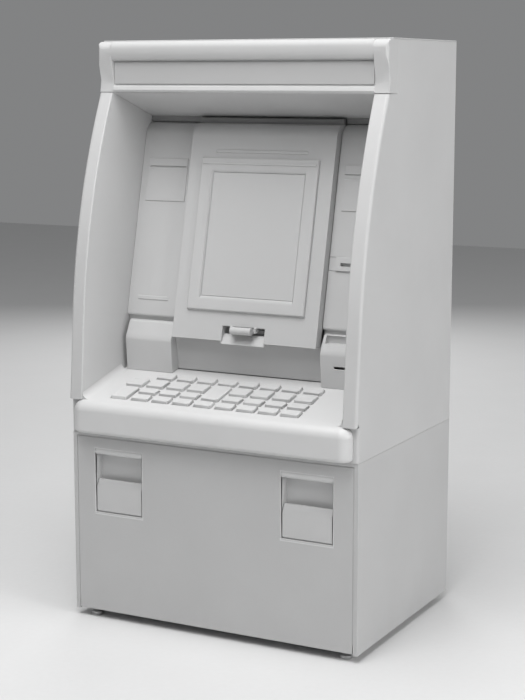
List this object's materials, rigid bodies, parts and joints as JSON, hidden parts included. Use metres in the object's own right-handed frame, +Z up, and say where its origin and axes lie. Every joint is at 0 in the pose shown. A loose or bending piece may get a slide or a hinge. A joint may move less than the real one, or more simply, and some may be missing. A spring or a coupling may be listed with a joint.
{
  "type": "cash machine",
  "caption": "Free-standing bank cash machine: cabinet with drop-down front door, curved side panels, hood, leaning screen door that lifts, and sloping keyboard shelf with sprung keys.",
  "frame": {"origin": "on the floor, under the middle of the machine's overall outline", "axes": "+X to the customer's right, +Y towards the machine's rear, +Z up; the customer stands on the -Y side"},
  "size_m": [0.8, 0.612, 1.47],
  "materials": {
    "cabinet_paint": "fine powder coat, matt",
    "moulded_shell": "fine moulded grain, matt",
    "fascia_plastic": "fine moulded grain, satin",
    "shelf_plastic": "moulded grain, worn smooth in front",
    "key_plastic": "satin",
    "sign_plastic": "opal acrylic, satin",
    "latch_plastic": "satin",
    "screen_glass": "anti-glare, frosted",
    "zinc_steel": "zinc plated",
    "module_metal": "bare sheet",
    "module_plastic": "matt"
  },
  "bodies": {
    "machine": {"safe_cabinet": "cabinet_paint", "levelling_feet": "zinc_steel", "hinge_pins": "zinc_steel", "cash_dispenser": "module_metal", "cash_cassettes": "module_plastic", "side_panel_left": "moulded_shell", "side_panel_right": "moulded_shell", "top_cover": "cabinet_paint", "hood": "moulded_shell", "header_sign": "sign_plastic", "fascia_left": "fascia_plastic", "fascia_right": "fascia_plastic", "display_unit": "module_plastic", "lower_fascia": "fascia_plastic", "keyboard_shelf": "shelf_plastic", "card_reader": "module_plastic", "receipt_printer": "module_plastic", "controller_unit": "module_metal", "cover_screws": "zinc_steel"},
    "front_door": {"front_door": "cabinet_paint", "latch_dishes": "latch_plastic"},
    "latch_paddle_left": {"latch_paddle_left": "latch_plastic"},
    "latch_paddle_right": {"latch_paddle_right": "latch_plastic"},
    "rear_door": {"rear_door": "cabinet_paint"},
    "screen_door": {"screen_door": "fascia_plastic", "screen_glass": "screen_glass"},
    "cash_gate": {"cash_gate": "latch_plastic"},
    "key_enter": {"key_enter": "key_plastic"},
    "key_cancel": {"key_cancel": "key_plastic"},
    "key_r1c1": {"key_r1c1": "key_plastic"},
    "key_r1c2": {"key_r1c2": "key_plastic"},
    "key_r1c3": {"key_r1c3": "key_plastic"},
    "key_r1c4": {"key_r1c4": "key_plastic"},
    "key_r1c5": {"key_r1c5": "key_plastic"},
    "key_r1c6": {"key_r1c6": "key_plastic"},
    "key_r1c7": {"key_r1c7": "key_plastic"},
    "key_r1c8": {"key_r1c8": "key_plastic"},
    "key_r2c1": {"key_r2c1": "key_plastic"},
    "key_r2c2": {"key_r2c2": "key_plastic"},
    "key_r2c3": {"key_r2c3": "key_plastic"},
    "key_r2c4": {"key_r2c4": "key_plastic"},
    "key_r2c5": {"key_r2c5": "key_plastic"},
    "key_r2c6": {"key_r2c6": "key_plastic"},
    "key_r2c7": {"key_r2c7": "key_plastic"},
    "key_r2c8": {"key_r2c8": "key_plastic"},
    "key_r3c1": {"key_r3c1": "key_plastic"},
    "key_r3c2": {"key_r3c2": "key_plastic"},
    "key_r3c3": {"key_r3c3": "key_plastic"},
    "key_r3c5": {"key_r3c5": "key_plastic"},
    "key_r3c6": {"key_r3c6": "key_plastic"},
    "key_r3c7": {"key_r3c7": "key_plastic"},
    "key_r3c8": {"key_r3c8": "key_plastic"},
    "key_r4c1": {"key_r4c1": "key_plastic"},
    "key_r4c2": {"key_r4c2": "key_plastic"},
    "key_r4c3": {"key_r4c3": "key_plastic"},
    "key_r4c4": {"key_r4c4": "key_plastic"},
    "key_r4c5": {"key_r4c5": "key_plastic"},
    "key_r4c6": {"key_r4c6": "key_plastic"},
    "key_r4c7": {"key_r4c7": "key_plastic"},
    "key_r4c8": {"key_r4c8": "key_plastic"}
  },
  "joints": [
    {"name": "front_door_hinge", "type": "hinge", "parent": "machine", "child": "front_door", "pos_m": [0, -0.265, 0.03], "axis": [1, 0, 0], "range_deg": [0, 85]},
    {"name": "left_paddle_hinge", "type": "hinge", "parent": "front_door", "child": "latch_paddle_left", "pos_m": [-0.265, -0.262, 0.29], "axis": [1, 0, 0], "range_deg": [0, 22], "stiffness_Nm_per_rad": 0.6, "springref_deg": -14.32},
    {"name": "right_paddle_hinge", "type": "hinge", "parent": "front_door", "child": "latch_paddle_right", "pos_m": [0.265, -0.262, 0.29], "axis": [1, 0, 0], "range_deg": [0, 22], "stiffness_Nm_per_rad": 0.6, "springref_deg": -14.32},
    {"name": "rear_door_hinge", "type": "hinge", "parent": "machine", "child": "rear_door", "pos_m": [-0.35, 0.3, 0.498], "axis": [0, 0, 1], "range_deg": [0, 110]},
    {"name": "screen_door_hinge", "type": "hinge", "parent": "machine", "child": "screen_door", "pos_m": [0, 0.056, 1.24], "axis": [-1, 0, 0], "range_deg": [0, 75]},
    {"name": "cash_gate_hinge", "type": "hinge", "parent": "screen_door", "child": "cash_gate", "pos_m": [0, -0.098, 0.751], "axis": [-1, 0, 0], "range_deg": [0, 25], "stiffness_Nm_per_rad": 0.15, "springref_deg": -14.32},
    {"name": "key_enter_press", "type": "slide", "parent": "machine", "child": "key_enter", "axis": [0, 0.2419, -0.9703], "range_m": [0, 0.0035], "stiffness_N_per_m": 400, "springref_m": -0.002},
    {"name": "key_cancel_press", "type": "slide", "parent": "machine", "child": "key_cancel", "axis": [0, 0.2419, -0.9703], "range_m": [0, 0.0035], "stiffness_N_per_m": 400, "springref_m": -0.002},
    {"name": "key_r1c1_press", "type": "slide", "parent": "machine", "child": "key_r1c1", "axis": [0, 0.2419, -0.9703], "range_m": [0, 0.0035], "stiffness_N_per_m": 400, "springref_m": -0.002},
    {"name": "key_r1c2_press", "type": "slide", "parent": "machine", "child": "key_r1c2", "axis": [0, 0.2419, -0.9703], "range_m": [0, 0.0035], "stiffness_N_per_m": 400, "springref_m": -0.002},
    {"name": "key_r1c3_press", "type": "slide", "parent": "machine", "child": "key_r1c3", "axis": [0, 0.2419, -0.9703], "range_m": [0, 0.0035], "stiffness_N_per_m": 400, "springref_m": -0.002},
    {"name": "key_r1c4_press", "type": "slide", "parent": "machine", "child": "key_r1c4", "axis": [0, 0.2419, -0.9703], "range_m": [0, 0.0035], "stiffness_N_per_m": 400, "springref_m": -0.002},
    {"name": "key_r1c5_press", "type": "slide", "parent": "machine", "child": "key_r1c5", "axis": [0, 0.2419, -0.9703], "range_m": [0, 0.0035], "stiffness_N_per_m": 400, "springref_m": -0.002},
    {"name": "key_r1c6_press", "type": "slide", "parent": "machine", "child": "key_r1c6", "axis": [0, 0.2419, -0.9703], "range_m": [0, 0.0035], "stiffness_N_per_m": 400, "springref_m": -0.002},
    {"name": "key_r1c7_press", "type": "slide", "parent": "machine", "child": "key_r1c7", "axis": [0, 0.2419, -0.9703], "range_m": [0, 0.0035], "stiffness_N_per_m": 400, "springref_m": -0.002},
    {"name": "key_r1c8_press", "type": "slide", "parent": "machine", "child": "key_r1c8", "axis": [0, 0.2419, -0.9703], "range_m": [0, 0.0035], "stiffness_N_per_m": 400, "springref_m": -0.002},
    {"name": "key_r2c1_press", "type": "slide", "parent": "machine", "child": "key_r2c1", "axis": [0, 0.2419, -0.9703], "range_m": [0, 0.0035], "stiffness_N_per_m": 400, "springref_m": -0.002},
    {"name": "key_r2c2_press", "type": "slide", "parent": "machine", "child": "key_r2c2", "axis": [0, 0.2419, -0.9703], "range_m": [0, 0.0035], "stiffness_N_per_m": 400, "springref_m": -0.002},
    {"name": "key_r2c3_press", "type": "slide", "parent": "machine", "child": "key_r2c3", "axis": [0, 0.2419, -0.9703], "range_m": [0, 0.0035], "stiffness_N_per_m": 400, "springref_m": -0.002},
    {"name": "key_r2c4_press", "type": "slide", "parent": "machine", "child": "key_r2c4", "axis": [0, 0.2419, -0.9703], "range_m": [0, 0.0035], "stiffness_N_per_m": 400, "springref_m": -0.002},
    {"name": "key_r2c5_press", "type": "slide", "parent": "machine", "child": "key_r2c5", "axis": [0, 0.2419, -0.9703], "range_m": [0, 0.0035], "stiffness_N_per_m": 400, "springref_m": -0.002},
    {"name": "key_r2c6_press", "type": "slide", "parent": "machine", "child": "key_r2c6", "axis": [0, 0.2419, -0.9703], "range_m": [0, 0.0035], "stiffness_N_per_m": 400, "springref_m": -0.002},
    {"name": "key_r2c7_press", "type": "slide", "parent": "machine", "child": "key_r2c7", "axis": [0, 0.2419, -0.9703], "range_m": [0, 0.0035], "stiffness_N_per_m": 400, "springref_m": -0.002},
    {"name": "key_r2c8_press", "type": "slide", "parent": "machine", "child": "key_r2c8", "axis": [0, 0.2419, -0.9703], "range_m": [0, 0.0035], "stiffness_N_per_m": 400, "springref_m": -0.002},
    {"name": "key_r3c1_press", "type": "slide", "parent": "machine", "child": "key_r3c1", "axis": [0, 0.2419, -0.9703], "range_m": [0, 0.0035], "stiffness_N_per_m": 400, "springref_m": -0.002},
    {"name": "key_r3c2_press", "type": "slide", "parent": "machine", "child": "key_r3c2", "axis": [0, 0.2419, -0.9703], "range_m": [0, 0.0035], "stiffness_N_per_m": 400, "springref_m": -0.002},
    {"name": "key_r3c3_press", "type": "slide", "parent": "machine", "child": "key_r3c3", "axis": [0, 0.2419, -0.9703], "range_m": [0, 0.0035], "stiffness_N_per_m": 400, "springref_m": -0.002},
    {"name": "key_r3c5_press", "type": "slide", "parent": "machine", "child": "key_r3c5", "axis": [0, 0.2419, -0.9703], "range_m": [0, 0.0035], "stiffness_N_per_m": 400, "springref_m": -0.002},
    {"name": "key_r3c6_press", "type": "slide", "parent": "machine", "child": "key_r3c6", "axis": [0, 0.2419, -0.9703], "range_m": [0, 0.0035], "stiffness_N_per_m": 400, "springref_m": -0.002},
    {"name": "key_r3c7_press", "type": "slide", "parent": "machine", "child": "key_r3c7", "axis": [0, 0.2419, -0.9703], "range_m": [0, 0.0035], "stiffness_N_per_m": 400, "springref_m": -0.002},
    {"name": "key_r3c8_press", "type": "slide", "parent": "machine", "child": "key_r3c8", "axis": [0, 0.2419, -0.9703], "range_m": [0, 0.0035], "stiffness_N_per_m": 400, "springref_m": -0.002},
    {"name": "key_r4c1_press", "type": "slide", "parent": "machine", "child": "key_r4c1", "axis": [0, 0.2419, -0.9703], "range_m": [0, 0.0035], "stiffness_N_per_m": 400, "springref_m": -0.002},
    {"name": "key_r4c2_press", "type": "slide", "parent": "machine", "child": "key_r4c2", "axis": [0, 0.2419, -0.9703], "range_m": [0, 0.0035], "stiffness_N_per_m": 400, "springref_m": -0.002},
    {"name": "key_r4c3_press", "type": "slide", "parent": "machine", "child": "key_r4c3", "axis": [0, 0.2419, -0.9703], "range_m": [0, 0.0035], "stiffness_N_per_m": 400, "springref_m": -0.002},
    {"name": "key_r4c4_press", "type": "slide", "parent": "machine", "child": "key_r4c4", "axis": [0, 0.2419, -0.9703], "range_m": [0, 0.0035], "stiffness_N_per_m": 400, "springref_m": -0.002},
    {"name": "key_r4c5_press", "type": "slide", "parent": "machine", "child": "key_r4c5", "axis": [0, 0.2419, -0.9703], "range_m": [0, 0.0035], "stiffness_N_per_m": 400, "springref_m": -0.002},
    {"name": "key_r4c6_press", "type": "slide", "parent": "machine", "child": "key_r4c6", "axis": [0, 0.2419, -0.9703], "range_m": [0, 0.0035], "stiffness_N_per_m": 400, "springref_m": -0.002},
    {"name": "key_r4c7_press", "type": "slide", "parent": "machine", "child": "key_r4c7", "axis": [0, 0.2419, -0.9703], "range_m": [0, 0.0035], "stiffness_N_per_m": 400, "springref_m": -0.002},
    {"name": "key_r4c8_press", "type": "slide", "parent": "machine", "child": "key_r4c8", "axis": [0, 0.2419, -0.9703], "range_m": [0, 0.0035], "stiffness_N_per_m": 400, "springref_m": -0.002}
  ]
}
